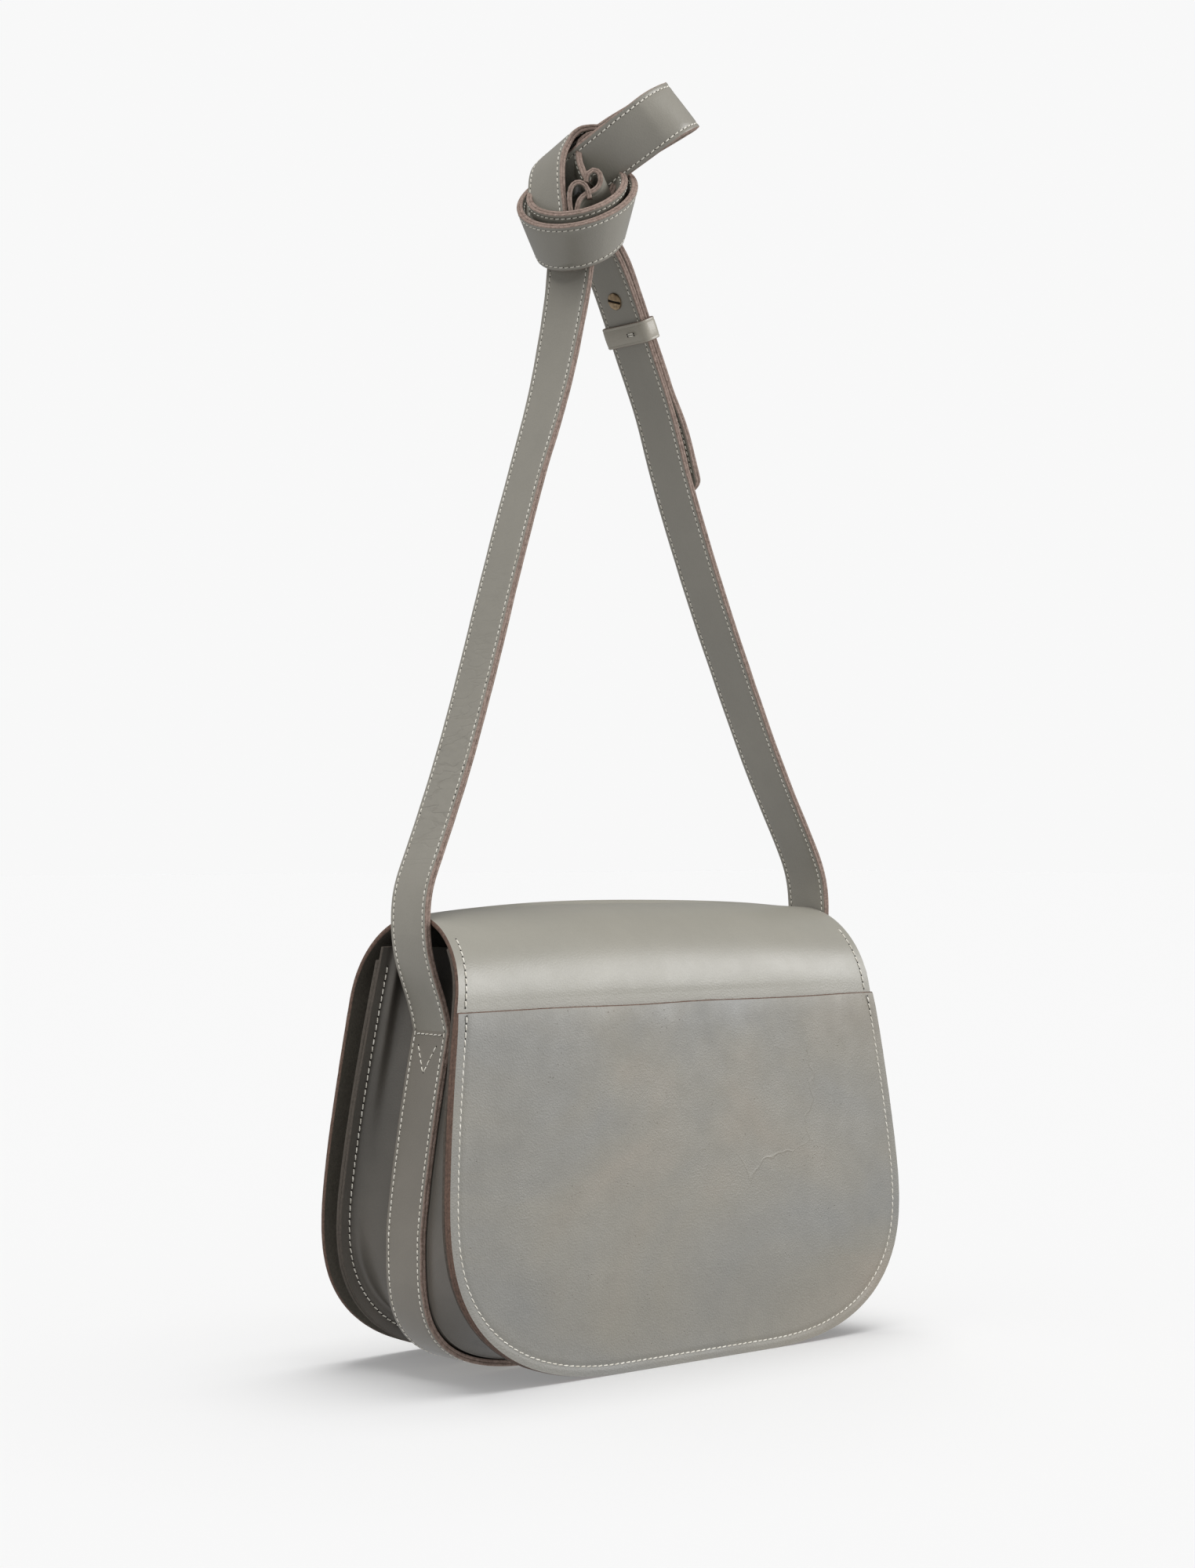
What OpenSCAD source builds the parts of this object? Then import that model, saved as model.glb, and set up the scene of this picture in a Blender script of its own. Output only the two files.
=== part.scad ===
// Saddle-style shoulder bag in firm leather: wedge-shaped body, full front flap, back slip
// pocket, and a two-ply shoulder strap that runs under the body and is tied in a knot on top.
// Millimetres. +Z up, -Y front, origin at the centre of the base.

/* [Body] */
// Half width of the panels at their widest height
half_w = 136; // [120:1:150]
// Half width of the leather where it arches over the top
top_half_w = 119.2; // [108:0.1:119.4]
// Height of the widest point of the panels
wide_z = 72; // [60:1:80]
// Height of the top of the arch
apex_z = 201; // [195:1:204]
// Depth from the flap's face to the back pocket's face, at the base
base_depth = 105; // [100:1:110]
// Lean of the back panel and the flap, in degrees
lean = 4.35; // [3.5:0.05:5]
// Lean of the front panel, in degrees
front_lean = 5.5; // [4.5:0.1:6]
// Distance of the front panel's face from the centre plane, at the base
front_y = 42; // [41:0.5:43]
// Height of the top edges of the front panel and the gusset
mouth_z = 180; // [170:1:182]

/* [Leather] */
// Thickness of the flap and back panel
panel_t = 2.2; // [1.8:0.1:2.4]
// Thickness of the back pocket
pocket_t = 2; // [1.5:0.1:2.2]
// Thickness of the gusset
gusset_t = 1.6; // [1.2:0.1:1.8]
// Width of the seam flange of the gusset, edge to fold
flange_w = 8; // [7:0.5:9]
// Height of the mouth of the back pocket
pocket_z = 160; // [140:1:164]
// Height of the flap's lower edge
flap_z = 4; // [2:1:10]

/* [Strap] */
// Width of the strap
strap_w = 25.4; // [24:0.2:26]
// Thickness of one ply of the strap
ply_t = 1.5; // [1.4:0.1:1.8]
// Height of the line about which the strap swings
swing_z = 208; // [207:0.5:212]
// Largest swing of the strap towards the back, in degrees
swing_max = 60; // [0:5:60]

/* [Hardware] */
// Radius of the adjuster screw's head
screw_head_r = 4.3; // [3.5:0.1:4.8]
// Radius of the adjuster post's barrel
post_r = 2.5; // [2:0.1:3]
// Radius of the magnetic snap
snap_r = 9; // [7:0.5:10]
// Height of the magnetic snap
snap_z = 45; // [35:1:60]

/* [Hidden] */

leather = "#8e8c86";
lining = "#7d7a74";
brass = "#8a7550";
steel = "#b9b9b4";

flat_x = 40;            // half width of the flat stretch of the base
corner_n = 2.5;         // exponent of the superellipse at the panels' lower corners
side_n = 1.4;           // exponent of the panels' narrowing towards the top
far = 400;              // reach of the prisms that cut the outlines
step = 6;               // angle between the points of a round stretch

// ---- the arch of the back panel and flap, in the Y-Z plane ----
half_depth = base_depth / 2 - pocket_t / 2;     // from the arch's centre plane
arch_y = -pocket_t / 2;                         // centre of the arch
arch_z = (apex_z / cos(lean) - half_depth) / (1 / cos(lean) - tan(lean));
arch_r = apex_z - arch_z;

// ---- the flex line of the flap ----
flex_a = 20;                                    // degrees in front of the apex
flex_r = panel_t / 2;
flex_gap = 0.6;
flex_y = arch_y - (arch_r - flex_r) * sin(flex_a);
flex_z = arch_z + (arch_r - flex_r) * cos(flex_a);

// half width of the panels at height z, above the widest point
function side_x(z) = half_w - (half_w - top_half_w)
    * pow(max(0, z - wide_z) / (apex_z - wide_z), side_n);
// quarter of a superellipse, from its side (a = 0) to its foot (a = 90)
function corner(cx, cz, rx, rz, n, a) =
    [cx + rx * pow(cos(a), 2 / n), cz - rz * pow(sin(a), 2 / n)];
// right half of the panels' outline, set in by d, from height top down to the base
function half_outline(top, d = 0) = concat(
    [for (i = [0:11]) let (z = top - (top - wide_z) * i / 12) [side_x(z) - d, z]],
    [for (a = [0:step:90]) corner(flat_x, wide_z, half_w - flat_x - d, wide_z - d, corner_n, a)]);
function mirrored(pts) = [for (i = [len(pts) - 1:-1:0]) [-pts[i][0], pts[i][1]]];
function outline(top, d = 0) = concat(half_outline(top, d), mirrored(half_outline(top, d)));

// Y of the inner face of the front panel and of the back panel at height z
front_in = panel_t / cos(front_lean);
function front_inner(z) = -front_y + front_in + z * tan(front_lean);
back_foot = base_depth / 2 - pocket_t - panel_t / cos(lean);
function back_inner(z) = z < arch_z + (arch_r - panel_t) * sin(lean)
    ? back_foot - z * tan(lean)
    : arch_y + sqrt(pow(arch_r - panel_t, 2) - pow(z - arch_z, 2));

// a Y-Z profile run along X
module along_x(pts, half = far / 2)
    translate([-half, 0, 0]) rotate([90, 0, 90]) linear_extrude(2 * half) polygon(pts);
// an X-Z outline run along Y
module along_y(pts, half = far / 2)
    translate([0, half, 0]) rotate([90, 0, 0]) linear_extrude(2 * half) polygon(pts);

// ---- panels ----
function arc(r, from, to) = [for (i = [0:24]) let (a = from + (to - from) * i / 24)
    [arch_y + r * cos(a), arch_z + r * sin(a)]];

module back_panel() {
    foot = base_depth / 2 - pocket_t;
    stop = 90 + flex_a - (flex_r + flex_gap) / arch_r * 180 / PI;
    color(leather) intersection() {
        along_x(concat([[foot, 0]], arc(arch_r, lean, stop),
            [for (p = [24:-1:0]) arc(arch_r - panel_t, lean, stop)[p]],
            [[foot - panel_t / cos(lean), 0]]));
        along_y(outline(apex_z + 1));
    }
}

module flap() {
    foot = -base_depth / 2;
    root_x = side_x(flex_z);
    start = 90 + flex_a;
    color(leather) union() {
        // rounded root on the flex line
        translate([-root_x, flex_y, flex_z]) rotate([0, 90, 0])
            cylinder(r = flex_r, h = 2 * root_x, $fn = 48);
        // the front half of the arch and the hanging front
        intersection() {
            along_x(concat(arc(arch_r, 180 - lean, start), arc(arch_r - panel_t, start, 180 - lean),
                [[foot + panel_t / cos(lean), 0], [foot, 0]]));
            along_y([for (p = outline(apex_z + 1)) [p[0], max(p[1], flap_z)]]);
        }
    }
}

module back_pocket() {
    foot = base_depth / 2;
    color(leather) intersection() {
        along_x([[foot, 0], [foot - pocket_z * tan(lean), pocket_z],
            [foot - pocket_t - pocket_z * tan(lean), pocket_z], [foot - pocket_t, 0]]);
        along_y(outline(apex_z));
    }
}

module front_panel() {
    color(leather) intersection() {
        along_x([[-front_y, 0], [-front_y + mouth_z * tan(front_lean), mouth_z],
            [front_inner(mouth_z), mouth_z], [front_inner(0), 0]]);
        along_y(outline(mouth_z));
    }
}

// ---- the line of the strap where it is sewn round the gusset ----
band_z = 60;            // height of the band's widest point
band_x = 124.5;         // half width there
band_top_z = 150;       // height at which the strap leaves the gusset
band_top_x = 110;
band_n = 3.5;
band_side_n = 1.3;
band_low = ply_t + 0.3; // height of the band's centre line under the base
function band_side(z) = band_x - (band_x - band_top_x)
    * pow(max(0, z - band_z) / (band_top_z - band_z), band_side_n);
// right half of the band's centre line, set in by d, from height top down to the base
function half_band(top, d = 0, side = 11) = concat(
    [for (i = [0:side]) let (z = top - (top - band_z) * i / (side + 1)) [band_side(z) - d, z]],
    [for (a = [0:step:90])
        corner(flat_x, band_z, band_x - flat_x - d, band_z - band_low - d, band_n, a)]);

// ---- gusset: one strip with a flange sewn to each panel, folded in to the band ----
valley = ply_t + 0.5;   // from the band's centre line to the gusset's outer face
pad = strap_w / 2 + 0.8;
soft = 2;               // size of the bend between flange and web
// One section of the gusset at station i, as 16 points, outer face first.
function at(p, y) = [p[0], y, p[1]];
function gusset_rows() = [
    half_outline(mouth_z), half_outline(mouth_z, flange_w - soft), half_outline(mouth_z, flange_w),
    half_band(mouth_z, valley), half_outline(mouth_z, flange_w + gusset_t),
    half_band(mouth_z, valley + gusset_t)];
function section(r, i) = let (o = r[0][i], s = r[1][i], f = r[2][i], v = r[3][i],
        g = r[4][i], w = r[5][i], t = gusset_t, k = soft) [
    at(o, front_inner(o[1]) + t), at(s, front_inner(s[1]) + t), at(f, front_inner(f[1]) + t + k),
    at(v, -pad), at(v, pad),
    at(f, back_inner(f[1]) - t - k), at(s, back_inner(s[1]) - t), at(o, back_inner(o[1]) - t),
    at(o, back_inner(o[1])), at(s, back_inner(s[1])), at(g, back_inner(g[1]) - k),
    at(w, pad), at(w, -pad),
    at(g, front_inner(g[1]) + k), at(s, front_inner(s[1])), at(o, front_inner(o[1]))];
function flip(sec) = [for (p = sec) [-p[0], p[1], p[2]]];
// faces of a tube of rings with n points each, closed at both ends
function skin(rings, n) = concat(
    [[for (j = [n - 1:-1:0]) j]], [[for (j = [0:n - 1]) (rings - 1) * n + j]],
    [for (i = [0:rings - 2]) for (j = [0:n - 1]) let (k = (j + 1) % n)
        each [[i * n + j, i * n + k, (i + 1) * n + k], [i * n + j, (i + 1) * n + k, (i + 1) * n + j]]]);

module gusset() {
    rows = gusset_rows();
    half = [for (i = [0:len(rows[0]) - 1]) section(rows, i)];
    all = concat(half, [for (i = [len(half) - 1:-1:0]) flip(half[i])]);
    color(lining) polyhedron([for (s = all) each s], skin(len(all), 16));
}

// ---- strap: plies run along Y from a line in the X-Z plane ----
function spline(p, n = 6) = concat(
    [for (i = [0:len(p) - 2]) for (k = [0:n - 1]) let (t = k / n,
        a = p[max(0, i - 1)], b = p[i], c = p[i + 1], d = p[min(len(p) - 1, i + 2)])
        0.5 * (2 * b + (c - a) * t + (2 * a - 5 * b + 4 * c - d) * t * t
            + (3 * b - a - 3 * c + d) * t * t * t)],
    [p[len(p) - 1]]);
function normal(p, i) = let (d = p[min(len(p) - 1, i + 1)] - p[max(0, i - 1)])
    [d[1], -d[0]] / norm(d);
function shifted(p, o) = [for (i = [0:len(p) - 1]) p[i] + o * normal(p, i)];
module ply(path, from, to, w = strap_w)
    along_y(concat(shifted(path, from), [for (i = [len(path) - 1:-1:0]) shifted(path, to)[i]]), w / 2);

// free stretch between the gusset and the swing line, from the top down
leg_top = 500;                                  // where both legs enter the knot
riser = [[122, swing_z], [122.5, 196], [121.5, 186], [118, 174], [112.5, 161], [band_top_x, band_top_z]];
base_half = concat([for (p = spline(riser)) if (p[1] > band_top_z + 0.1) p], half_band(band_top_z));
base_line = concat(base_half, mirrored(base_half));
left_line = spline([[122, 190], [122, swing_z], [120.5, 215], [115, 227], [100, 265], [86, 307],
    [73, 350], [59, 394], [44, 438], [34, 480], [31, leg_top]]);
run_a = 25;                                     // lean of the straight run at the adjuster
run_p = [-19, 439];                             // lower end of that run
run_l = (leg_top - run_p[1]) / cos(run_a);
run_d = [sin(run_a), cos(run_a)];
right_line = concat(spline([[-122, 190], [-122, swing_z], [-121, 215], [-115, 228], [-92, 269],
    [-70, 314], [-50, 358], [-32, 402], [-23.5, 427], run_p]), [run_p + run_l * run_d]);
tail_gap = 2;                                   // how far the free end stands off the strap
tail_line = [run_p + (run_l - 6) * run_d, run_p + 4 * run_d, [-26, 426], [-31.4, 411], [-35.8, 397]];

// what the swinging part of the strap passes through, about the swing line
module swept(r) {
    for (a = [0, swing_max]) translate([0, 0, swing_z]) rotate([-a, 0, 0])
        translate([-far / 2, -r, 0]) cube([far, 2 * r, 60]);
    across(r);
}
module across(r) translate([-far / 2, 0, swing_z]) rotate([0, 90, 0]) cylinder(r = r, h = far, $fn = 64);
module base_ply(from, to) difference() {
    ply(base_line, from, to);
    swept(strap_w / 2 + 0.4);
}
module strap_base_outer() color(leather) base_ply(0, -ply_t);
module strap_base_lining() color(lining) base_ply(0, ply_t);
module leg(path, from, to) intersection() {
    ply(path, from, to);
    union() {
        across(strap_w / 2);
        translate([-far / 2, -far / 2, swing_z]) cube(far);
    }
}
module left_leg_outer() color(leather) leg(left_line, 0, ply_t);
module left_leg_lining() color(lining) leg(left_line, 0, -ply_t);

// ---- adjuster: a screw and its post through the right leg and the tail ----
post_s = 51.5;                                    // its place along the straight run
stack = 4 * ply_t + 0.1;
module at_run(s) translate([run_p[0] + s * run_d[0], 0, run_p[1] + s * run_d[1]])
    rotate([0, run_a, 0]) children();
// axis of the post, with +Z towards the inner side of the strap
module at_post() at_run(post_s) rotate([0, 90, 0]) children();
module post_hole() at_post() cylinder(r = post_r + 0.05, h = 30, center = true, $fn = 48);
module right_leg_outer() color(leather) difference() {
    leg(right_line, -ply_t, 0);
    post_hole();
}
module right_leg_lining() color(lining) difference() {
    leg(right_line, 0, ply_t);
    post_hole();
}
module tail_ply(from, to) difference() {
    ply(tail_line, from, to);
    post_hole();
}
tail_in = ply_t + 0.1;
module tail_outer() color(leather) tail_ply(tail_in + ply_t, tail_in + 2 * ply_t);
module tail_lining() color(lining) tail_ply(tail_in, tail_in + ply_t);

module adjuster_post() color(brass) at_post() difference() {
    union() {
        translate([0, 0, -stack + ply_t]) cylinder(r = post_r, h = stack - 0.3, $fn = 48);
        translate([0, 0, -stack + ply_t - 1.2]) cylinder(r = screw_head_r, h = 1.2, $fn = 64);
    }
    translate([0, 0, -stack + ply_t]) cylinder(r = 1.56, h = 30, $fn = 48);
}
module adjuster_screw() color(brass) at_post() difference() {
    union() {
        translate([0, 0, -3.5]) cylinder(r = 1.5, h = 4 + ply_t, $fn = 48);
        translate([0, 0, ply_t + 0.1]) cylinder(r = screw_head_r, h = 0.8, $fn = 64);
        translate([0, 0, ply_t + 0.9]) cylinder(r1 = screw_head_r, r2 = screw_head_r - 1.4,
            h = 0.9, $fn = 64);
    }
    translate([-0.5, -screw_head_r - 1, ply_t + 1]) cube([1, 2 * screw_head_r + 2, 2]);
}

// ---- keeper: a closed loop round the strap and its tail ----
keeper_s = 35;
keeper_h = 10;
keeper_t = 1.7;
module keeper_loop() color(leather) at_run(keeper_s) translate([-ply_t - 0.05, 0, 0]) difference() {
    cube([stack + 0.8 + 2 * keeper_t, strap_w + 0.8 + 2 * keeper_t, keeper_h], center = true);
    cube([stack + 0.8, strap_w + 0.8, keeper_h + 2], center = true);
}

// ---- knot: the doubled strap tied round itself, with its bight left as a loop ----
knot_c = [30, 0, 529];
knot_turn = 139.5;                              // which way the knot's front faces, about Z
wrap_tilt = 25;                                 // how far the wrap's front edge dips
wrap_flat = 0.82;                               // its depth over its width
wrap_low = [2.5, -2, -24.5];                    // centre of its lower edge
wrap_low_r = 20;
wrap_low_roll = -14;
wrap_high = [2, -12, 1.5];                      // centre of its upper edge
wrap_high_r = 29.5;
wrap_high_roll = -17.5;
wrap_t = 2 * ply_t;
gap = 0.4;                                      // between the pieces of the knot
module at_knot() translate(knot_c) rotate([0, 0, knot_turn]) children();
module wrap_disc(c, r, roll) translate(c) rotate([wrap_tilt, roll, 0]) scale([1, wrap_flat, 1])
    cylinder(r = r, h = 0.2, center = true, $fn = 64);
module wrap_cone(less = 0) at_knot() hull() {
    wrap_disc(wrap_low, wrap_low_r - less, wrap_low_roll);
    wrap_disc(wrap_high, wrap_high_r - less, wrap_high_roll);
}
// everything above the wrap's upper edge, moved up by a clearance
module above_wrap(lift) at_knot() translate(wrap_high + [0, 0, lift])
    rotate([wrap_tilt, wrap_high_roll, 0]) translate([-80, -80, 0]) cube(160);
module at_loop() at_knot() translate([9, -4, 13]) rotate([0, -loop_rise, 0]) children();
loop_rise = 38;                                 // how steeply the loop points up
loop_len = 52;
loop_r = 6.5;
module loop_slab(r, from, w) linear_extrude(w, center = true) union() {
    translate([loop_len - loop_r, 0]) circle(r = r, $fn = 48);
    translate([from, -r]) square([loop_len - loop_r - from, 2 * r]);
}
module knot_wrap() color(leather) difference() {
    wrap_cone();
    wrap_cone(wrap_t);
    at_knot() translate(wrap_low) rotate([wrap_tilt, wrap_low_roll, 0])
        translate([-40, -40, -40]) cube([80, 80, 40.05]);
    above_wrap(-0.05);
}
module knot_core() color(lining) difference() {
    wrap_cone(wrap_t + gap);
    translate([0, 0, leg_top - 100]) linear_extrude(100) square(300, center = true);
}
hood_r = 20;
module hood_disc(r, h) at_knot() translate([-1.5, 2, 12]) rotate([90, 0, 0])
    cylinder(r = r, h = h, center = true, $fn = 72);
module knot_hood() color(leather) difference() {
    hood_disc(hood_r, strap_w);
    at_knot() translate(wrap_high + [0, 0, gap]) rotate([wrap_tilt, wrap_high_roll, 0])
        translate([-80, -80, -160]) cube(160);
}
module knot_loop() color(leather) difference() {
    at_loop() difference() {
        loop_slab(loop_r, 0, strap_w);
        loop_slab(loop_r - wrap_t, 12, strap_w + 2);
    }
    hood_disc(hood_r + gap, strap_w + 2 * gap);
    at_knot() translate(wrap_high + [0, 0, gap]) rotate([wrap_tilt, wrap_high_roll, 0])
        translate([-80, -80, -160]) cube(160);
}

// ---- magnetic snap between the front panel and the flap ----
patch_t = 1.5;
patch_r = 14;
module at_front() translate([0, -front_y + snap_z * tan(front_lean), snap_z])
    rotate([90 - front_lean, 0, 0]) children();
module at_flap() translate([0, -base_depth / 2 + snap_z * tan(lean) + panel_t / cos(lean), snap_z])
    rotate([-90 - lean, 0, 0]) children();
module snap_disc(r, h) cylinder(r = r, h = h, $fn = 64);
module socket_patch() color(leather) at_front() difference() {
    snap_disc(patch_r, patch_t);
    translate([0, 0, -1]) snap_disc(1.5, 5);
}
module snap_socket() color(steel) at_front() translate([0, 0, patch_t]) difference() {
    snap_disc(snap_r, 3.4);
    translate([0, 0, 1.2]) snap_disc(4.6, 5);
}
module snap_socket_washer() color(steel) at_front() translate([0, 0, -panel_t - 0.8])
    snap_disc(snap_r - 1, 0.8);
module stud_patch() color(leather) at_flap() difference() {
    snap_disc(patch_r, patch_t);
    translate([0, 0, -1]) snap_disc(snap_r - 1, 2);
}
module snap_stud_washer() color(steel) at_flap() snap_disc(snap_r - 1.1, 0.9);
module snap_stud() color(steel) at_flap() translate([0, 0, patch_t]) union() {
    snap_disc(snap_r, 1.2);
    snap_disc(3.6, 2.6);
}

back_panel();
back_pocket();
front_panel();
gusset();
strap_base_outer();
strap_base_lining();
snap_socket();
snap_socket_washer();
socket_patch();
flap();
snap_stud();
snap_stud_washer();
stud_patch();
left_leg_outer();
left_leg_lining();
right_leg_outer();
right_leg_lining();
tail_outer();
tail_lining();
knot_wrap();
knot_core();
knot_hood();
knot_loop();
adjuster_post();
adjuster_screw();
keeper_loop();
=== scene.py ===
import math
import random

import bpy
import numpy as np
from mathutils import Matrix, Vector, noise


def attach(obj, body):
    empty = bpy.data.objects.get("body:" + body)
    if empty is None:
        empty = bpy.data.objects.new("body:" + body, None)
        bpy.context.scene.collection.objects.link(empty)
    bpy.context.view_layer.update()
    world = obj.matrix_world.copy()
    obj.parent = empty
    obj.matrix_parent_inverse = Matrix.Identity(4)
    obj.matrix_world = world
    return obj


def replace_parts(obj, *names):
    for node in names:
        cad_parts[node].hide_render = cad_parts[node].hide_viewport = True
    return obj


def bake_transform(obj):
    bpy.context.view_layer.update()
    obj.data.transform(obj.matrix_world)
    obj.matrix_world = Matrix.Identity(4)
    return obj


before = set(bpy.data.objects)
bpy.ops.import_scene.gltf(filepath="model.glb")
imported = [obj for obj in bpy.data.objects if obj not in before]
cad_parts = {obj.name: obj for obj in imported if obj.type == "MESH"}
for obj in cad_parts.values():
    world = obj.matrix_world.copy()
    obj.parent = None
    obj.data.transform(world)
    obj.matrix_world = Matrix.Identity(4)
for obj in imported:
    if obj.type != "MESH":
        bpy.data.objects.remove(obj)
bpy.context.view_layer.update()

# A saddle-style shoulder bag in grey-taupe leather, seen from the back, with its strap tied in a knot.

MM = 0.001
rng = random.Random(11)

# ---- dimensions, in mm, as in the CAD
# x runs along the width, y from the front towards the back, z up from the surface the bag stands on
HALF_W = 136
TOP_HALF_W = 119.2
WIDE_Z = 72  # height at which the body is widest
APEX_Z = 201
BASE_DEPTH = 105
LEAN = math.radians(4.35)
FRONT_LEAN = math.radians(5.5)
FRONT_Y = 42
MOUTH_Z = 180
PANEL_T = 2.2
POCKET_T = 2.0
POCKET_Z = 160
GUSSET_T = 1.6
FLANGE_W = 8
FLAP_Z = 4  # height of the flap's lower edge
FLAT_X = 40  # half width of the flat part of the base
CORNER_N = 2.5
SIDE_N = 1.4
STRAP_W = 25.4
HALF_STRAP = STRAP_W / 2
PLY_T = 1.5
SWING_Z = 208
# the line of the strap that is sewn round the gusset
BAND_Z = 60
BAND_X = 124.5
BAND_TOP_Z = 150
BAND_TOP_X = 110
BAND_N = 3.5
BAND_SIDE_N = 1.3
BAND_LOW = PLY_T + 0.3
# the straight run of the right leg, as a start (x, z) and a direction
RUN_A = math.radians(25)
RUN_P = np.array([-19.0, 439.0])
RUN_D = np.array([math.sin(RUN_A), math.cos(RUN_A)])
RUN_OUT = np.array([math.cos(RUN_A), 0, -math.sin(RUN_A)])
LEG_TOP = 500
KNOT_C = np.array([30.0, 0.0, 529.0])
KNOT_TURN = math.radians(139.5)

# the rounded top of the body, from the back's face over to the flap's
ARCH_Y = -POCKET_T / 2
HALF_DEPTH = BASE_DEPTH / 2 - POCKET_T / 2
ARCH_Z = (APEX_Z / math.cos(LEAN) - HALF_DEPTH) / (1 / math.cos(LEAN) - math.tan(LEAN))
ARCH_R = APEX_Z - ARCH_Z
ARCH_FOOT = ARCH_Z + ARCH_R * math.sin(LEAN)

BACK_N = np.array([0, math.cos(LEAN), math.sin(LEAN)])
FRONT_N = np.array([0, -math.cos(FRONT_LEAN), math.sin(FRONT_LEAN)])
ALONG_Y = np.array([0, 1.0, 0])

# stitching
SEAM_INSET = 4.3
SEAM_TOP = 191  # height at which the side seams end
SEAM_PITCH = 3.2
STRAP_PITCH = 2.75
HOLE_LONG = 0.5
HOLE_WIDE = 0.4
THREAD_GAP = 0.36  # from a needle hole's middle to the end of the thread beside it
# half of a thread's length is 1: places along it, with their heights and radii in mm
THREAD_FORM = [(-1, -0.08, 0.18), (-0.78, 0.1, 0.27), (0, 0.18, 0.3), (0.78, 0.1, 0.27), (1, -0.08, 0.18)]

# light
BACKDROP = 0.94
AMBIENT = 0.30
AMBIENT_LOW = 0.76
FLOOR_SHADE = 0.72
FLOOR_GLOW = 0.21
FLOOR_REACH = 20000
LENS = 62.135
CAMERA_AT = (0.82695, 0.95067, 0.22947)
CAMERA_AWAY = (-0.64926, -0.76019, 0.02403)

# ---- small helpers


def unit(v):
    v = np.asarray(v, float)
    return v / np.maximum(np.linalg.norm(v, axis=-1, keepdims=True), 1e-9)


def catmull(keys, n):
    """n points on a smooth curve through the rows of keys, evenly spread between them."""
    k = np.asarray(keys, float)
    k = np.vstack([2 * k[0] - k[1], k, 2 * k[-1] - k[-2]])
    out = []
    for s in np.linspace(0, len(k) - 3 - 1e-9, n):
        i = int(s)
        t = s - i
        a, b, c, d = k[i : i + 4]
        out.append(0.5 * (2 * b + (c - a) * t + (2 * a - 5 * b + 4 * c - d) * t * t
                          + (3 * b - a - 3 * c + d) * t ** 3))
    return np.array(out)


def resample(points, spacing):
    """The same polyline with points about spacing apart."""
    p = np.asarray(points, float)
    s = np.concatenate([[0], np.cumsum(np.linalg.norm(np.diff(p[:, :3], axis=0), axis=1))])
    n = max(2, int(round(s[-1] / spacing)) + 1)
    t = np.linspace(0, s[-1], n)
    return np.stack([np.interp(t, s, p[:, i]) for i in range(p.shape[1])], 1)


def wave(p, scale, seed=0.0):
    """Smooth noise, -1 to 1, at a point in mm."""
    return noise.noise(Vector((p[0] * scale + seed, p[1] * scale - seed, p[2] * scale + 2 * seed)))


def spread(direction, path):
    """The same direction at every point of a path."""
    return np.tile(np.asarray(direction, float), (len(path), 1))


def quads(rows, cols, start=0, flip=False):
    """The faces of a grid of vertices."""
    f = []
    for i in range(rows - 1):
        for j in range(cols - 1):
            a = start + i * cols + j
            q = (a, a + 1, a + cols + 1, a + cols)
            f.append(q[::-1] if flip else q)
    return f


def make(name, verts, faces, mats, face_mats=None, sharp=38):
    """A mesh object from vertices in mm."""
    mesh = bpy.data.meshes.new(name)
    mesh.from_pydata((np.asarray(verts, float) * MM).tolist(), [], faces)
    for m in mats:
        mesh.materials.append(m)
    if face_mats is not None:
        mesh.polygons.foreach_set("material_index", face_mats)
    mesh.shade_smooth()
    mesh.set_sharp_from_angle(angle=math.radians(sharp))
    mesh.update()
    obj = bpy.data.objects.new(name, mesh)
    bpy.context.scene.collection.objects.link(obj)
    return obj


# ---- materials

BLACK = (0, 0, 0)
WHITE = (1, 1, 1)


def nodes_of(name):
    """A new material, its node tree and its shader."""
    m = bpy.data.materials.new(name)
    m.use_nodes = True
    t = m.node_tree
    return m, t, t.nodes["Principled BSDF"]


def feed(t, node, inputs):
    """Give a node's inputs their values, or link them to other nodes' outputs."""
    for name, value in inputs.items():
        if isinstance(value, bpy.types.NodeSocket):
            t.links.new(value, node.inputs[name])
        else:
            node.inputs[name].default_value = value
    return node


def add_node(t, kind, inputs):
    return feed(t, t.nodes.new("ShaderNode" + kind), inputs)


def place(t):
    """The place on the object, in m."""
    return add_node(t, "TexCoord", {}).outputs["Object"]


def noise_texture(t, vector, scale, detail, rough=0.5, distortion=0.0):
    return add_node(t, "TexNoise", {"Vector": vector, "Scale": scale, "Detail": detail,
                                    "Roughness": rough, "Distortion": distortion})


def stretched(t, scale, turn=(0, 0, 0)):
    """The place on the object, scaled and turned."""
    return add_node(t, "Mapping", {"Vector": place(t), "Scale": scale, "Rotation": turn}).outputs["Vector"]


def noise_node(t, scale, detail=3.0, rough=0.5, stretch=(1, 1, 1), distortion=0.0):
    return noise_texture(t, stretched(t, stretch), scale, detail, rough, distortion).outputs["Fac"]


def cells(t, vector, scale, feature="F1"):
    v = add_node(t, "TexVoronoi", {"Vector": vector, "Scale": scale})
    v.feature = feature
    return v


def ramp(t, fac, stops):
    """Colours by a value from 0 to 1."""
    r = add_node(t, "ValToRGB", {"Fac": fac})
    e = r.color_ramp.elements
    while len(e) < len(stops):
        e.new(0.5)
    for el, (pos, col) in zip(e, stops):
        el.position = pos
        el.color = (*col, 1)
    return r.outputs["Color"]


def mix(t, fac, a, b, kind="MIX"):
    m = add_node(t, "Mix", {})
    m.data_type = "RGBA"
    m.blend_type = kind
    return feed(t, m, {"Factor": fac, "A": a, "B": b}).outputs["Result"]


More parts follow.
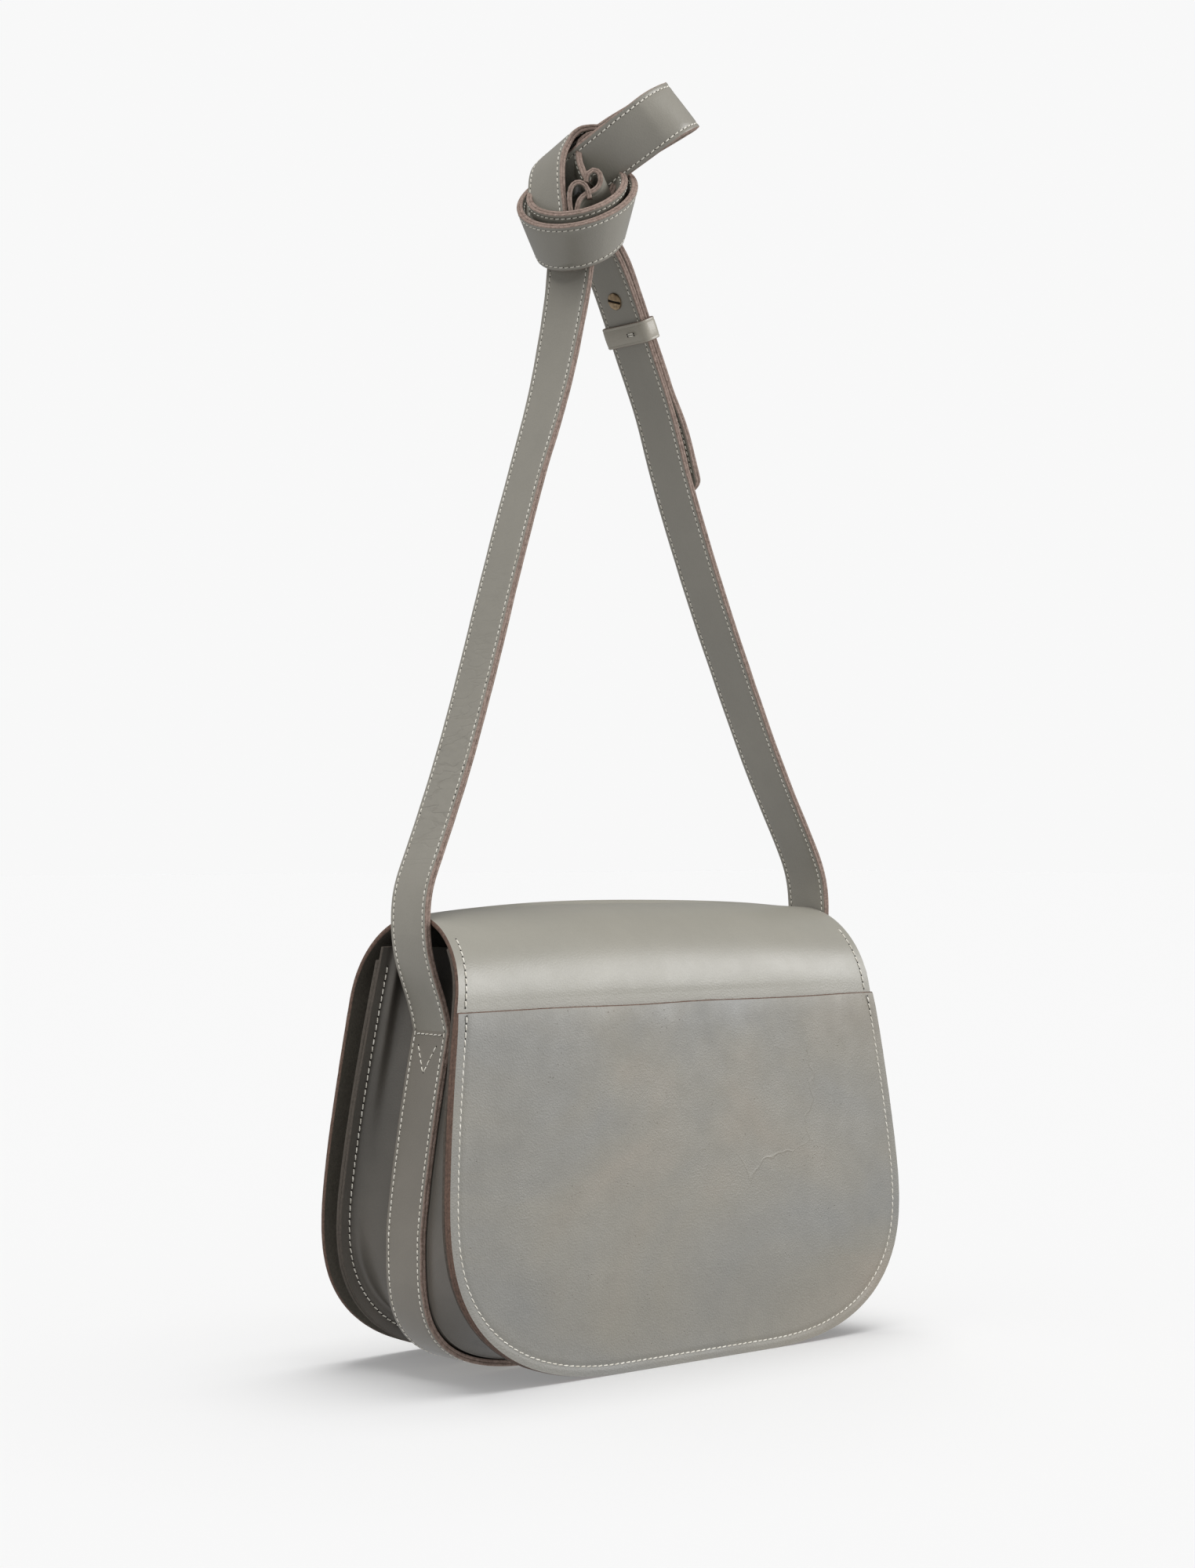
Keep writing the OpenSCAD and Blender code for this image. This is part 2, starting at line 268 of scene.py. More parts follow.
def tinted(t, col, mask, tint):
    """A colour multiplied by tint where mask is 1."""
    return mix(t, 1.0, col, ramp(t, mask, [(0, WHITE), (1, tint)]), "MULTIPLY")


def bump(t, bsdf, heights):
    """Surface relief from a list of (value, strength, distance in m); a strength below 0 presses in."""
    last = None
    for h, strength, distance in heights:
        b = add_node(t, "Bump", {"Height": h, "Strength": abs(strength), "Distance": distance})
        b.invert = strength < 0
        if last is not None:
            feed(t, b, {"Normal": last})
        last = b.outputs["Normal"]
    feed(t, bsdf, {"Normal": last})


def grain(t, scale):
    """Leather grain: rounded cells with fine creases between them."""
    v = cells(t, place(t), scale, "SMOOTH_F1")
    return feed(t, v, {"Smoothness": 0.6}).outputs["Distance"]


def veins(t):
    """Thin wandering scars in one place on the back: 1 on a scar, 0 elsewhere."""
    bend = noise_texture(t, place(t), 22, 3)
    shift = add_node(t, "VectorMath", {0: bend.outputs["Color"], 1: (0.07, 0.07, 0.07), 2: place(t)})
    shift.operation = "MULTIPLY_ADD"
    bent = shift.outputs["Vector"]
    edges = cells(t, bent, 17, "DISTANCE_TO_EDGE").outputs["Distance"]
    line = ramp(t, edges, [(0.0, WHITE), (0.014, BLACK)])
    away = add_node(t, "VectorMath", {0: bent, 1: (-0.02, 0.08, 0.145)})
    away.operation = "DISTANCE"
    where = ramp(t, away.outputs["Value"], [(0.02, WHITE), (0.045, BLACK)])
    return mix(t, 1.0, line, where, "MULTIPLY")


def pits(t, scale, size):
    """Scattered pin-prick pores: 1 in a pore, 0 elsewhere."""
    dot = ramp(t, cells(t, place(t), scale).outputs["Distance"], [(0.0, WHITE), (size, BLACK)])
    where = ramp(t, noise_node(t, 60, 3), [(0.48, BLACK), (0.62, WHITE)])
    return mix(t, 1.0, dot, where, "MULTIPLY")


def fold_lines(t):
    """Fine creases across the lower left leg: 1 on a crease, 0 elsewhere."""
    folds = noise_texture(t, stretched(t, (1, 1, 3.2), (0.12, 0.3, 0)), 50, 2, distortion=0.3)
    line = ramp(t, folds.outputs["Fac"], [(0.46, BLACK), (0.5, WHITE), (0.54, BLACK)])
    axes = add_node(t, "SeparateXYZ", {"Vector": place(t)})
    where = ramp(t, axes.outputs["Z"], [(0.215, BLACK), (0.245, WHITE), (0.275, (0.7,) * 3), (0.38, BLACK)])
    return mix(t, 1.0, line, where, "MULTIPLY")


def leather(name, shades, cloud=14, stretch=(1, 1, 1), rough=(0.42, 0.58), speck=0.12,
            small=0.03, pores=0.18, waves=0.12, worn=False, creased=False):
    """Dyed leather, with shades from dark to light in clouds of the size that cloud sets."""
    m, t, b = nodes_of(name)
    big = noise_node(t, cloud, 4, 0.5, stretch, 0.6)
    col = ramp(t, big, list(zip((0.3, 0.5, 0.7), shades)))
    fine = ramp(t, noise_node(t, 900, 4, 0.7), [(0.3, (0.74, 0.73, 0.72)), (0.7, (1.04,) * 3)])
    col = mix(t, speck, col, mix(t, 1.0, col, fine, "MULTIPLY"))
    mottle = ramp(t, noise_node(t, 85, 5, 0.65), [(0.35, (1 - small,) * 3), (0.65, (1 + small,) * 3)])
    col = mix(t, 1.0, col, mottle, "MULTIPLY")
    heights = [(noise_node(t, 55, 4, 0.5), waves, 0.002), (grain(t, 1300), pores, 0.00025),
               (noise_node(t, 2600, 3, 0.6), pores * 0.7, 0.00015)]
    if worn:
        pit = pits(t, 420, 0.16)
        scar = veins(t)
        # the pores are painted darker, as painted shade in them; the scars are a little lighter
        col = tinted(t, tinted(t, col, pit, (0.62, 0.56, 0.5)), scar, (1.06, 1.055, 1.045))
        heights += [(pit, -0.5, 0.0003), (scar, 0.35, 0.0004)]
    if creased:
        fold = fold_lines(t)
        # the creases are painted a little darker, as painted shade in them
        col = tinted(t, col, fold, (0.93, 0.925, 0.92))
        heights.append((fold, -0.4, 0.0005))
    r = ramp(t, noise_node(t, 45, 5, 0.6), [(0.3, (rough[0],) * 3), (0.7, (rough[1],) * 3)])
    feed(t, b, {"Base Color": col, "Roughness": r, "Specular IOR Level": 0.5})
    bump(t, b, heights)
    return m


def raw_edge(name, dark, light):
    """A cut edge or flesh side: matt and fibrous."""
    m, t, b = nodes_of(name)
    middle = [(x + y) / 2 for x, y in zip(dark, light)]
    col = ramp(t, noise_node(t, 750, 5, 0.75), [(0.3, dark), (0.5, middle), (0.72, light)])
    feed(t, b, {"Base Color": col, "Roughness": 0.8})
    bump(t, b, [(noise_node(t, 1400, 4, 0.7), 0.5, 0.0004)])
    return m


def thread_material():
    m, t, b = nodes_of("cream_thread")
    col = ramp(t, noise_node(t, 300, 3), [(0.35, (0.68, 0.64, 0.55)), (0.65, (0.9, 0.87, 0.79))])
    feed(t, b, {"Base Color": col, "Roughness": 0.65, "Sheen Weight": 0.2})
    w = add_node(t, "TexWave", {"Scale": 900})
    w.bands_direction = "DIAGONAL"
    bump(t, b, [(w.outputs["Fac"], 0.5, 0.0001)])
    return m


def plain(name, colour, rough):
    m, t, b = nodes_of(name)
    c = [x * 0.7 for x in colour]
    col = ramp(t, noise_node(t, 500, 3), [(0.3, c), (0.7, colour)])
    feed(t, b, {"Base Color": col, "Roughness": rough})
    return m


def metal(name, dark, light, rough):
    m, t, b = nodes_of(name)
    col = ramp(t, noise_node(t, 350, 5, 0.7), [(0.35, dark), (0.65, light)])
    r = ramp(t, noise_node(t, 600, 4), [(0.3, (rough - 0.08,) * 3), (0.7, (rough + 0.12,) * 3)])
    feed(t, b, {"Base Color": col, "Roughness": r, "Metallic": 1.0})
    bump(t, b, [(noise_node(t, 900, 4), 0.15, 0.0001)])
    return m


STRAP_SHADES = [(0.248, 0.235, 0.203), (0.26, 0.246, 0.212), (0.272, 0.257, 0.222)]
STRAP_LOOK = {"cloud": 12, "rough": (0.30, 0.40), "small": 0.02, "waves": 0.03}
SMOOTH = leather("smooth_leather", [(0.272, 0.263, 0.23), (0.284, 0.272, 0.234), (0.296, 0.282, 0.242)],
                 cloud=6, rough=(0.33, 0.42), small=0.015, waves=0.02)
MOTTLED = leather("mottled_leather", [(0.186, 0.186, 0.176), (0.216, 0.203, 0.171), (0.258, 0.219, 0.172)],
                  cloud=6.5, stretch=(1, 1, 1.7), rough=(0.40, 0.54), speck=0.35, small=0.035, pores=0.25,
                  waves=0.06, worn=True)
# darkened as painted shade, for the shade on the gusset under the arch and the flap
GUSSET_SHADED = leather("gusset_leather", [(0.078, 0.072, 0.063), (0.1, 0.092, 0.08), (0.122, 0.11, 0.095)],
                 rough=(0.38, 0.5), waves=0.08)
STRAP = leather("strap_leather", STRAP_SHADES, **STRAP_LOOK)
CREASED = leather("creased_strap_leather", STRAP_SHADES, **STRAP_LOOK, creased=True)
# the strap leather again but darker: painted shade on the strap sewn round the gusset
BASE_STRAP_SHADED = leather("base_strap_painted_shade",
                     [(0.165, 0.152, 0.13), (0.179, 0.164, 0.14), (0.193, 0.177, 0.151)],
                     cloud=12, rough=(0.32, 0.42), small=0.02, waves=0.03)
KEEPER = leather("keeper_leather", [(0.34, 0.316, 0.264), (0.36, 0.334, 0.28), (0.38, 0.353, 0.296)],
                 cloud=20, rough=(0.34, 0.44), small=0.02, waves=0.03)
EDGE = raw_edge("raw_edge", (0.12, 0.08, 0.062), (0.38, 0.285, 0.24))
BODY_EDGE = raw_edge("body_raw_edge", (0.045, 0.026, 0.019), (0.175, 0.105, 0.075))
# a darker copy of the raw edge: painted shade on the edges of the front panel and the gusset
SHADE_EDGE = raw_edge("shaded_raw_edge", (0.04, 0.032, 0.025), (0.09, 0.074, 0.058))
FLESH = raw_edge("flesh_side", (0.06, 0.053, 0.041), (0.098, 0.087, 0.068))
THREAD = thread_material()
# near black: painted shade for the needle holes and for the screw's slot and seam
HOLE_SHADE = plain("painted_hole_shade", (0.02, 0.016, 0.013), 0.9)
BRASS = metal("antique_brass", (0.15, 0.105, 0.065), (0.40, 0.30, 0.19), 0.34)
STEEL = metal("snap_steel", (0.42, 0.40, 0.37), (0.62, 0.60, 0.56), 0.3)

# ---- outlines and surfaces


def side_x(z):
    """Half width of the panels above their widest place."""
    return HALF_W - (HALF_W - TOP_HALF_W) * (max(0.0, z - WIDE_Z) / (APEX_Z - WIDE_Z)) ** SIDE_N


def corner(cx, cz, rx, rz, n, a):
    """A point of a lower corner: a superellipse round (cx, cz), at angle a below the horizontal."""
    return cx + rx * max(0.0, math.cos(a)) ** (2 / n), cz - rz * math.sin(a) ** (2 / n)


def half_outline(top, d=0.0, side=40, turns=45):
    """Right half of the panels' outline, set in by d, from height top down to the base."""
    pts = [(side_x(z) - d, z) for z in np.linspace(top, WIDE_Z, side, endpoint=False)]
    pts += [corner(FLAT_X, WIDE_Z, HALF_W - FLAT_X - d, WIDE_Z - d, CORNER_N, a)
            for a in np.linspace(0, math.pi / 2, turns)]
    return np.array(pts)


def mirrored(half):
    """A right half with its left half added, as one line."""
    return np.vstack([half, half[::-1] * [-1, 1]])


def half_width(z):
    """Half width of the panels at height z."""
    if z >= WIDE_Z:
        return side_x(z)
    s = min(1.0, max(0.0, (WIDE_Z - z) / WIDE_Z)) ** (CORNER_N / 2)
    return FLAT_X + (HALF_W - FLAT_X) * max(0.0, 1 - s * s) ** (1 / CORNER_N)


def pocket_face(z):
    return BASE_DEPTH / 2 - z * math.tan(LEAN)


def back_face(z):
    return pocket_face(z) - POCKET_T


def front_face(z):
    return z * math.tan(FRONT_LEAN) - FRONT_Y


def front_inner(z):
    return front_face(z) + PANEL_T / math.cos(FRONT_LEAN)


def back_inner(z):
    if z < ARCH_Z + (ARCH_R - PANEL_T) * math.sin(LEAN):
        return back_face(z) - PANEL_T / math.cos(LEAN)
    return ARCH_Y + math.sqrt((ARCH_R - PANEL_T) ** 2 - (z - ARCH_Z) ** 2)


def heights(top, low=0.0):
    """Heights from low up to top, close together round the lower corners."""
    a = np.linspace(math.pi / 2, 0, 46)
    z = WIDE_Z - WIDE_Z * np.sin(a) ** (2 / CORNER_N)
    z = np.concatenate([z, np.linspace(WIDE_Z, top - 2, 34)[1:], [top - 1, top - 0.4, top]])
    if low == 0:
        return z
    return np.concatenate([[low, low + 0.4, low + 1], z[z > low + 1.5]])


# shares of the half width at which the panels have columns, close together near the edge
NEAR_EDGE = np.array([8, 6.6, 5.6, 4.6, 3.2, 2, 1.1, 0.5, 0.2, 0])
COLUMNS = np.concatenate([np.linspace(0, 0.93, 40), 1 - NEAR_EDGE / HALF_W])
COLUMNS = np.concatenate([-COLUMNS[:0:-1], COLUMNS])


def outline_distance(x, z, top):
    """How far points lie from the sides and the base of the outline, which runs on past the top."""
    o = mirrored(half_outline(top + 60))
    a, b = o[:-1], o[1:]
    ab = b - a
    p = np.stack([x, z], -1).reshape(-1, 1, 2)
    t = np.clip(((p - a) * ab).sum(-1) / np.maximum((ab * ab).sum(-1), 1e-9), 0, 1)
    return np.linalg.norm(p - (a + t[..., None] * ab), axis=-1).min(1).reshape(np.shape(x))


def thick_sheet(name, outer, inner, mats, bulge=0.45):
    """A closed piece between two grids of points, with a rounded raw edge all round."""
    r, c = outer.shape[:2]
    ring = ([(0, j) for j in range(c)] + [(i, c - 1) for i in range(1, r)]
            + [(r - 1, j) for j in range(c - 2, -1, -1)] + [(i, 0) for i in range(r - 2, 0, -1)])
    verts = [outer.reshape(-1, 3), inner.reshape(-1, 3)]
    faces = quads(r, c) + quads(r, c, r * c, True)
    face_mats = [0] * ((r - 1) * (c - 1)) + [2] * ((r - 1) * (c - 1))
    outer_rim = np.array([outer[i, j] for i, j in ring])
    inner_rim = np.array([inner[i, j] for i, j in ring])
    mid = (outer + inner) / 2
    away = []
    for i, j in ring:
        e = np.zeros(3)
        if i in (0, r - 1):
            e += unit(mid[i, j] - mid[1 if i == 0 else r - 2, j])
        if j in (0, c - 1):
            e += unit(mid[i, j] - mid[i, 1 if j == 0 else c - 2])
        away.append(unit(e))
    away = np.array(away)
    # smooth the outward direction along the edge, so that the corners don't pinch
    for _ in range(3):
        away = unit(away + np.roll(away, 1, 0) + np.roll(away, -1, 0))
    size = len(ring)
    start = 2 * r * c
    loops = [[i * c + j for i, j in ring]]
    # the edge's section: how far across the thickness, and how far out as a share of bulge
    for k, (share, out) in enumerate([(0.1, 0.55), (0.3, 0.95), (0.5, 1.0), (0.7, 0.95), (0.9, 0.55)]):
        rough = np.array([1 + 0.35 * wave(p, 0.6, k) for p in outer_rim])[:, None]
        verts.append(outer_rim + (inner_rim - outer_rim) * share + away * bulge * out * rough)
        loops.append(list(range(start + k * size, start + (k + 1) * size)))
    loops.append([r * c + i * c + j for i, j in ring])
    for a, b in zip(loops, loops[1:]):
        for k in range(size):
            q = (k + 1) % size
            faces.append((a[q], a[k], b[k], b[q]))
            face_mats.append(1)
    return make(name, np.vstack(verts), faces, mats, face_mats)


# ---- stitches

sewn = {}


def add_hole(g, at, normal, along):
    """A flat dark oval of painted shade, for the hole that the needle left."""
    side = np.cross(normal, along)
    base = len(g["holes"])
    g["holes"].append(at + normal * 0.05)
    for a in np.linspace(0, 2 * math.pi, 9)[:-1]:
        g["holes"].append(at + HOLE_LONG * math.cos(a) * along + HOLE_WIDE * math.sin(a) * side)
    for i in range(8):
        g["hole_faces"].append((base, base + 1 + i, base + 1 + (i + 1) % 8))


def add_thread(g, at, normal, along, side, half):
    """One stitch, which dips into the leather at both ends."""
    base = len(g["thread"])
    for share, height, radius in THREAD_FORM:
        c = at + along * share * half + normal * height
        for a in np.linspace(0, 2 * math.pi, 7)[:-1]:
            g["thread"].append(c + radius * (math.cos(a) * side + math.sin(a) * normal))
    for i in range(4):
        for j in range(6):
            a, b = base + i * 6 + j, base + i * 6 + (j + 1) % 6
            g["thread_faces"].append((a, b, b + 6, a + 6))
    g["thread_faces"].append(tuple(base + j for j in range(5, -1, -1)))
    g["thread_faces"].append(tuple(base + 24 + j for j in range(6)))


def stitch(group, points, normals, pitch, slant=0.12, first=0.5):
    """A row of thread along a polyline on a surface, with painted shade for its needle holes, kept under
    group.
    """
    p = resample(np.hstack([np.asarray(points, float), np.asarray(normals, float)]), 0.5)
    s = np.concatenate([[0], np.cumsum(np.linalg.norm(np.diff(p[:, :3], axis=0), axis=1))])
    count = int((s[-1] - 2 * first) / pitch)
    if count < 1:
        return
    step = (s[-1] - 2 * first) / count
    g = sewn.setdefault(group, {"thread": [], "thread_faces": [], "holes": [], "hole_faces": []})

    def at(d):
        """The point and the normal at a distance along the row."""
        q = np.array([np.interp(d, s, p[:, i]) for i in range(6)])
        return q[:3], unit(q[3:])

    for k in range(count + 1):
        here = first + k * step
        q, n = at(here)
        t = unit(at(min(s[-1], here + 0.3))[0] - at(max(0, here - 0.3))[0])
        add_hole(g, q + n * 0.02, n, t)
        if k == count:
            break
        q, n = at(here + 0.5 * step)
        t = unit(at(here + step)[0] - at(here)[0])
        side = np.cross(n, t)
        turn = slant + rng.uniform(-0.06, 0.06)
        t, side = t * math.cos(turn) + side * math.sin(turn), side * math.cos(turn) - t * math.sin(turn)
        add_thread(g, q, n, t, side, step / 2 - THREAD_GAP)


# ---- body panels


def swell(d, amount):
    """How far a sewn panel stands out: full in its middle, pulled in at the stitching."""
    full = np.clip(d / 45, 0, 1)
    full = full * full * (3 - 2 * full)
    groove = 0.3 * np.exp(-(((d - SEAM_INSET) / 1.1) ** 2))
    return amount * full - groove


def section_rows():
    """Rows up the back, over the arch and down the flap: point, normal, half width, height on the arch."""
    back = [(np.array([0, back_face(z), z]), BACK_N, half_width(z), 0) for z in heights(ARCH_FOOT)]
    arch = []
    for a in np.linspace(LEAN, math.pi - LEAN, 74)[1:-1]:
        n = np.array([0, math.cos(a), math.sin(a)])
        p = np.array([0, ARCH_Y, ARCH_Z]) + ARCH_R * n
        arch.append((p, n, half_width(p[2]), math.sin(a)))
    flap = [(np.array([0, -pocket_face(z), z]), BACK_N * [1, -1, 1], half_width(z), 0)
            for z in heights(ARCH_FOOT, FLAP_Z)[::-1]]
    return back + arch + flap


def arch_and_panels():
    """The single piece of leather that makes the back, the arch and the flap."""
    rows = section_rows()
    outer = np.zeros((len(rows), len(COLUMNS), 3))
    inner = np.zeros_like(outer)
    for i, (p, n, half, up) in enumerate(rows):
        for j, c in enumerate(COLUMNS):
            edge = abs(c) ** 6
            q = np.array([c * (half + 0.5 * wave((0, p[1], p[2]), 0.02, 3) * edge), p[1], p[2]])
            # crown over the top, a soft belly on the flap, and slow waves
            rise = 3.2 * up ** 1.5 * (1 - c * c) + 0.7 * wave(q, 0.011, 5) * (1 - edge)
            if p[1] < ARCH_Y:
                rise += 1.6 * (1 - c * c) * min(1, p[2] / 60) - 0.9 * edge * up
            outer[i, j] = q + n * rise
            inner[i, j] = outer[i, j] - n * PANEL_T
    return thick_sheet("back_arch_and_flap", outer, inner, [SMOOTH, BODY_EDGE, FLESH])


def flat_panel(name, top, face, n, t, mats, belly, seed, skive=0.0):
    """A sewn panel whose outer side follows face(z), thinned by skive along its top edge."""
    zs = heights(top)
    base = np.zeros((len(zs), len(COLUMNS), 3))
    for i, z in enumerate(zs):
        base[i, :, 0] = COLUMNS * half_width(z)
        base[i, :, 1] = face(z)
        base[i, :, 2] = z
    d = outline_distance(base[..., 0], base[..., 2], top)
    out = swell(d, belly)
    for i in range(len(zs)):
        for j in range(len(COLUMNS)):
            out[i, j] += 0.5 * wave(base[i, j], 0.012, seed) * min(1, d[i, j] / 25)
            if i > len(zs) - 4:
                base[i, j, 2] += 0.6 * wave(base[i, j], 0.02, seed + 4)
    thin = skive * np.exp(-(top - base[..., 2]) / 5)
    outer = base + n * (out - thin)[..., None]
    inner = base + n * (np.minimum(out, 0.0) - t)[..., None]
    return thick_sheet(name, outer, inner, mats)


hide = arch_and_panels()
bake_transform(hide)
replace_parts(hide, "back_panel", "flap")

pocket = flat_panel("back_slip_pocket", POCKET_Z, pocket_face, BACK_N, POCKET_T,
                    [MOTTLED, BODY_EDGE, FLESH], 1.4, 2.0, skive=0.9)
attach(pocket, "bag")
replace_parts(pocket, "back_pocket")

front = flat_panel("front_panel_leather", MOUTH_Z, front_face, FRONT_N, PANEL_T,
                   [SMOOTH, SHADE_EDGE, FLESH], 0.4, 7.0)
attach(front, "bag")
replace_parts(front, "front_panel")

# ---- gusset


def band_side(z):
    """Half width of the strap's line above the lower corners."""
    return BAND_X - (BAND_X - BAND_TOP_X) * (max(0.0, z - BAND_Z) / (BAND_TOP_Z - BAND_Z)) ** BAND_SIDE_N


def half_band(top, d=0.0, side=40, turns=45):
    """Right half of the line of the strap round the gusset, set in by d, from height top to the base."""
    pts = [(band_side(z) - d, z) for z in np.linspace(top, BAND_Z, side, endpoint=False)]
    pts += [corner(FLAT_X, BAND_Z, BAND_X - FLAT_X - d, BAND_Z - BAND_LOW - d, BAND_N, a)
            for a in np.linspace(0, math.pi / 2, turns)]
    return np.array(pts)


def gusset_section(rim, seam, fold, valley):
    """Points across the gusset from the front panel to the back, through (x, z) of its four lines."""
    pad = HALF_STRAP + 0.8
    half_fold = (valley + fold) / 2
    bank = valley * 0.93 + fold * 0.07
    front_rim, front_seam = (front_inner(p[1]) + GUSSET_T for p in (rim, seam))
    back_rim, back_seam, back_fold = (back_inner(p[1]) - GUSSET_T for p in (rim, seam, fold))
    keys = [(rim, front_rim), ((rim + seam) / 2, (front_rim + front_seam) / 2), (seam, front_seam),
            (fold, front_inner(fold[1]) + GUSSET_T + 2.2), (half_fold, -pad - 9), (bank, -pad - 1.2),
            (valley, 1 - pad), (valley, 0), (valley, pad - 1), (bank, pad + 1.2), (half_fold, pad + 9),
            (fold, back_fold - 2.2), (seam, back_seam), ((rim + seam) / 2, (back_rim + back_seam) / 2),
            (rim, back_rim)]
    return [(p[0], y, p[1]) for p, y in keys]


def gusset_mesh():
    """One sheet with a flange behind each panel, folded inwards to a valley under the strap."""
    top = MOUTH_Z + 6
    lines = zip(half_outline(top), half_outline(top, FLANGE_W - 2.5), half_outline(top, FLANGE_W + 0.3),
                half_band(top, PLY_T + 0.45))
    rows = []
    for line in lines:
        row = catmull(gusset_section(*line), 84)
        for q in row:
            # the folds between the flanges and the strap are softly uneven
            if abs(q[1]) > HALF_STRAP + 2.8:
                soft = 0.5 * wave(q, 0.03, 9)
                q[0] += soft
                q[2] += soft * 0.5
        rows.append(row)
    outer = np.array(rows)
    outer = np.concatenate([outer, outer[::-1] * [-1, 1, 1]])
    # the inner face, along the normals of the outer one
    n = unit(np.cross(np.gradient(outer, axis=0), np.gradient(outer, axis=1)))
    sign = np.sign((n * (outer - [0, 0, 90])).sum(-1).mean())
    inner = outer - n * sign * (GUSSET_T - 0.05)
    if sign < 0:
        outer, inner = outer[:, ::-1], inner[:, ::-1]
    return thick_sheet("folded_gusset", outer, inner, [GUSSET_SHADED, SHADE_EDGE, FLESH], 0.3)


gusset = gusset_mesh()
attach(gusset, "bag")
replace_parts(gusset, "gusset")

# ---- straps


def closed_profile(edge, face):
    """A symmetric section as (across, out, material), from its right half given as (across, out)."""
    right = [(w, o, 1) for w, o in edge] + [(w, o, 0) for w, o in face]
    return right + [(-w, o, m) for w, o, m in right[-2::-1]]


def ply_profile(width, t, side):
    """Section of one ply of the strap, out measured from the strap's middle plane."""
    h = width / 2
    # the face has a shallow groove, which the stitching lies in
    face = [(h - 0.35, t - 0.02), (h - 1.2, t + 0.05), (h - 1.75, t - 0.1), (h - 2.2, t - 0.2),
            (h - 2.65, t - 0.1), (h - 3.4, t + 0.08), (h * 0.6, t + 0.1), (h * 0.45, t + 0.12),
            (h * 0.3, t + 0.13), (h * 0.15, t + 0.14), (0, t + 0.14)]
    edge = [(h - 0.12, 0.02), (h, 0.14), (h + 0.05, 0.4), (h + 0.06, t - 0.5), (h - 0.04, t - 0.2)]
    loop = closed_profile(edge, face)
    # a face of the mesh is grain only where both of its points are
    ahead = loop[1:] + loop[:1]
    return [(w, o * side, max(m, after[2])) for (w, o, m), after in zip(loop, ahead)]


def frames(path, across):
    """Across and normal directions along a path."""
    t = unit(np.gradient(path, axis=0))
    w = unit(across - (across * t).sum(-1, keepdims=True) * t)
    return w, np.cross(t, w)


def rounded_end(path, tip):
    """Share of the full width along a path whose far end narrows to a round tip of length tip."""
    left_over = np.cumsum(np.linalg.norm(np.diff(path, axis=0), axis=1)[::-1])[::-1]
    left_over = np.concatenate([left_over, [0]])
    return np.sqrt(1 - np.clip(1 - left_over / tip, 0, 0.985) ** 2)


def ribbon(name, path, across, width=STRAP_W, t=PLY_T, wrinkle=None, mats=(STRAP, EDGE), tip=None):
    """Two plies of strap along a path, with their raw edges."""
    w, n = frames(path, across)
    share = rounded_end(path, tip) if tip else np.ones(len(path))
    verts, faces, face_mats = [], [], []
    for side in (1, -1):
        profile = ply_profile(width, t, side)
        k = len(profile)
        start = len(verts) * len(path) * k
        block = np.zeros((len(path), k, 3))
        for j, (a, o, m) in enumerate(profile):
            block[:, j] = path + w * a * share[:, None] + n * o
        for i in range(len(path)):
            for j, (a, o, m) in enumerate(profile):
                q = block[i, j]
                q += w[i] * 0.18 * wave(q, 0.08, side) * (abs(a) / HALF_STRAP) ** 3
                if wrinkle is not None and m == 0:
                    q += n[i] * side * wrinkle(path[i], a)
        verts.append(block.reshape(-1, 3))
        for i in range(len(path) - 1):
            for j in range(k):
                a, b = start + i * k + j, start + i * k + (j + 1) % k
                q = (a, b, b + k, a + k)
                faces.append(q if side < 0 else q[::-1])
                face_mats.append(profile[j][2])
        first = tuple(range(start, start + k))
        last = tuple(range(start + (len(path) - 1) * k, start + len(path) * k))
        faces += [first[::side], last[::-side]]
        face_mats += [1, 1]
    return make(name, np.vstack(verts), faces, mats, face_mats, 45)


def sew_ribbon(group, path, across, sides=(1, -1), width=STRAP_W, t=PLY_T):
    """A row of stitches near both edges of a strap, on the faces given."""
    w, n = frames(path, across)
    for side in sides:
        for e in (-1, 1):
            row = path + w * e * (width / 2 - 2.2) + n * side * (t - 0.2)
            stitch(group, row, n * side, STRAP_PITCH)


def upright(points):
    """Points (x, z) set into the middle plane of the strap."""
    p = np.asarray(points, float)
    return np.stack([p[:, 0], np.zeros(len(p)), p[:, 1]], 1)


# the middle line of the strap as (x, z): from the gusset up to the swing line, and both legs
RISER = [(122, SWING_Z), (122.5, 196), (121.5, 186), (118, 174), (112.5, 161), (BAND_TOP_X, BAND_TOP_Z)]
LEFT = [(122, 190), (122, SWING_Z), (120.5, 215), (115, 227), (100, 265), (86, 307), (73, 350), (59, 394),
        (44, 438), (34, 480), (31, LEG_TOP), (30, 519)]
RIGHT = [(-122, 190), (-122, SWING_Z), (-121, 215), (-115, 228), (-92, 269), (-70, 314), (-50, 358),
         (-32, 402), (-23.5, 427), tuple(RUN_P)]


def lower_strap():
    """The strap sewn down one side of the gusset, under the base and up the other side."""
    return resample(upright(mirrored(half_band(BAND_TOP_Z, 0, 60, 70))), 2.0)


def run_point(s):
    """A point of the straight run of the right leg, whose top end bends into the knot."""
    extra = max(0.0, s - 62)
    return RUN_P + RUN_D * s + RUN_OUT[[0, 2]] * extra * extra * 0.012


def ease(path, reach):
    """Round the bends of an evenly spaced path over about reach points, keeping its ends."""
    out = path.copy()
    w = np.exp(-0.5 * (np.arange(-3 * reach, 3 * reach + 1) / reach) ** 2)
    w /= w.sum()
    for i in range(3):
        p = np.concatenate([2 * path[0, i] - path[1:3 * reach + 1, i][::-1], path[:, i],
                            2 * path[-1, i] - path[-3 * reach - 1:-1, i][::-1]])
        out[:, i] = np.convolve(p, w, "valid")
    return out


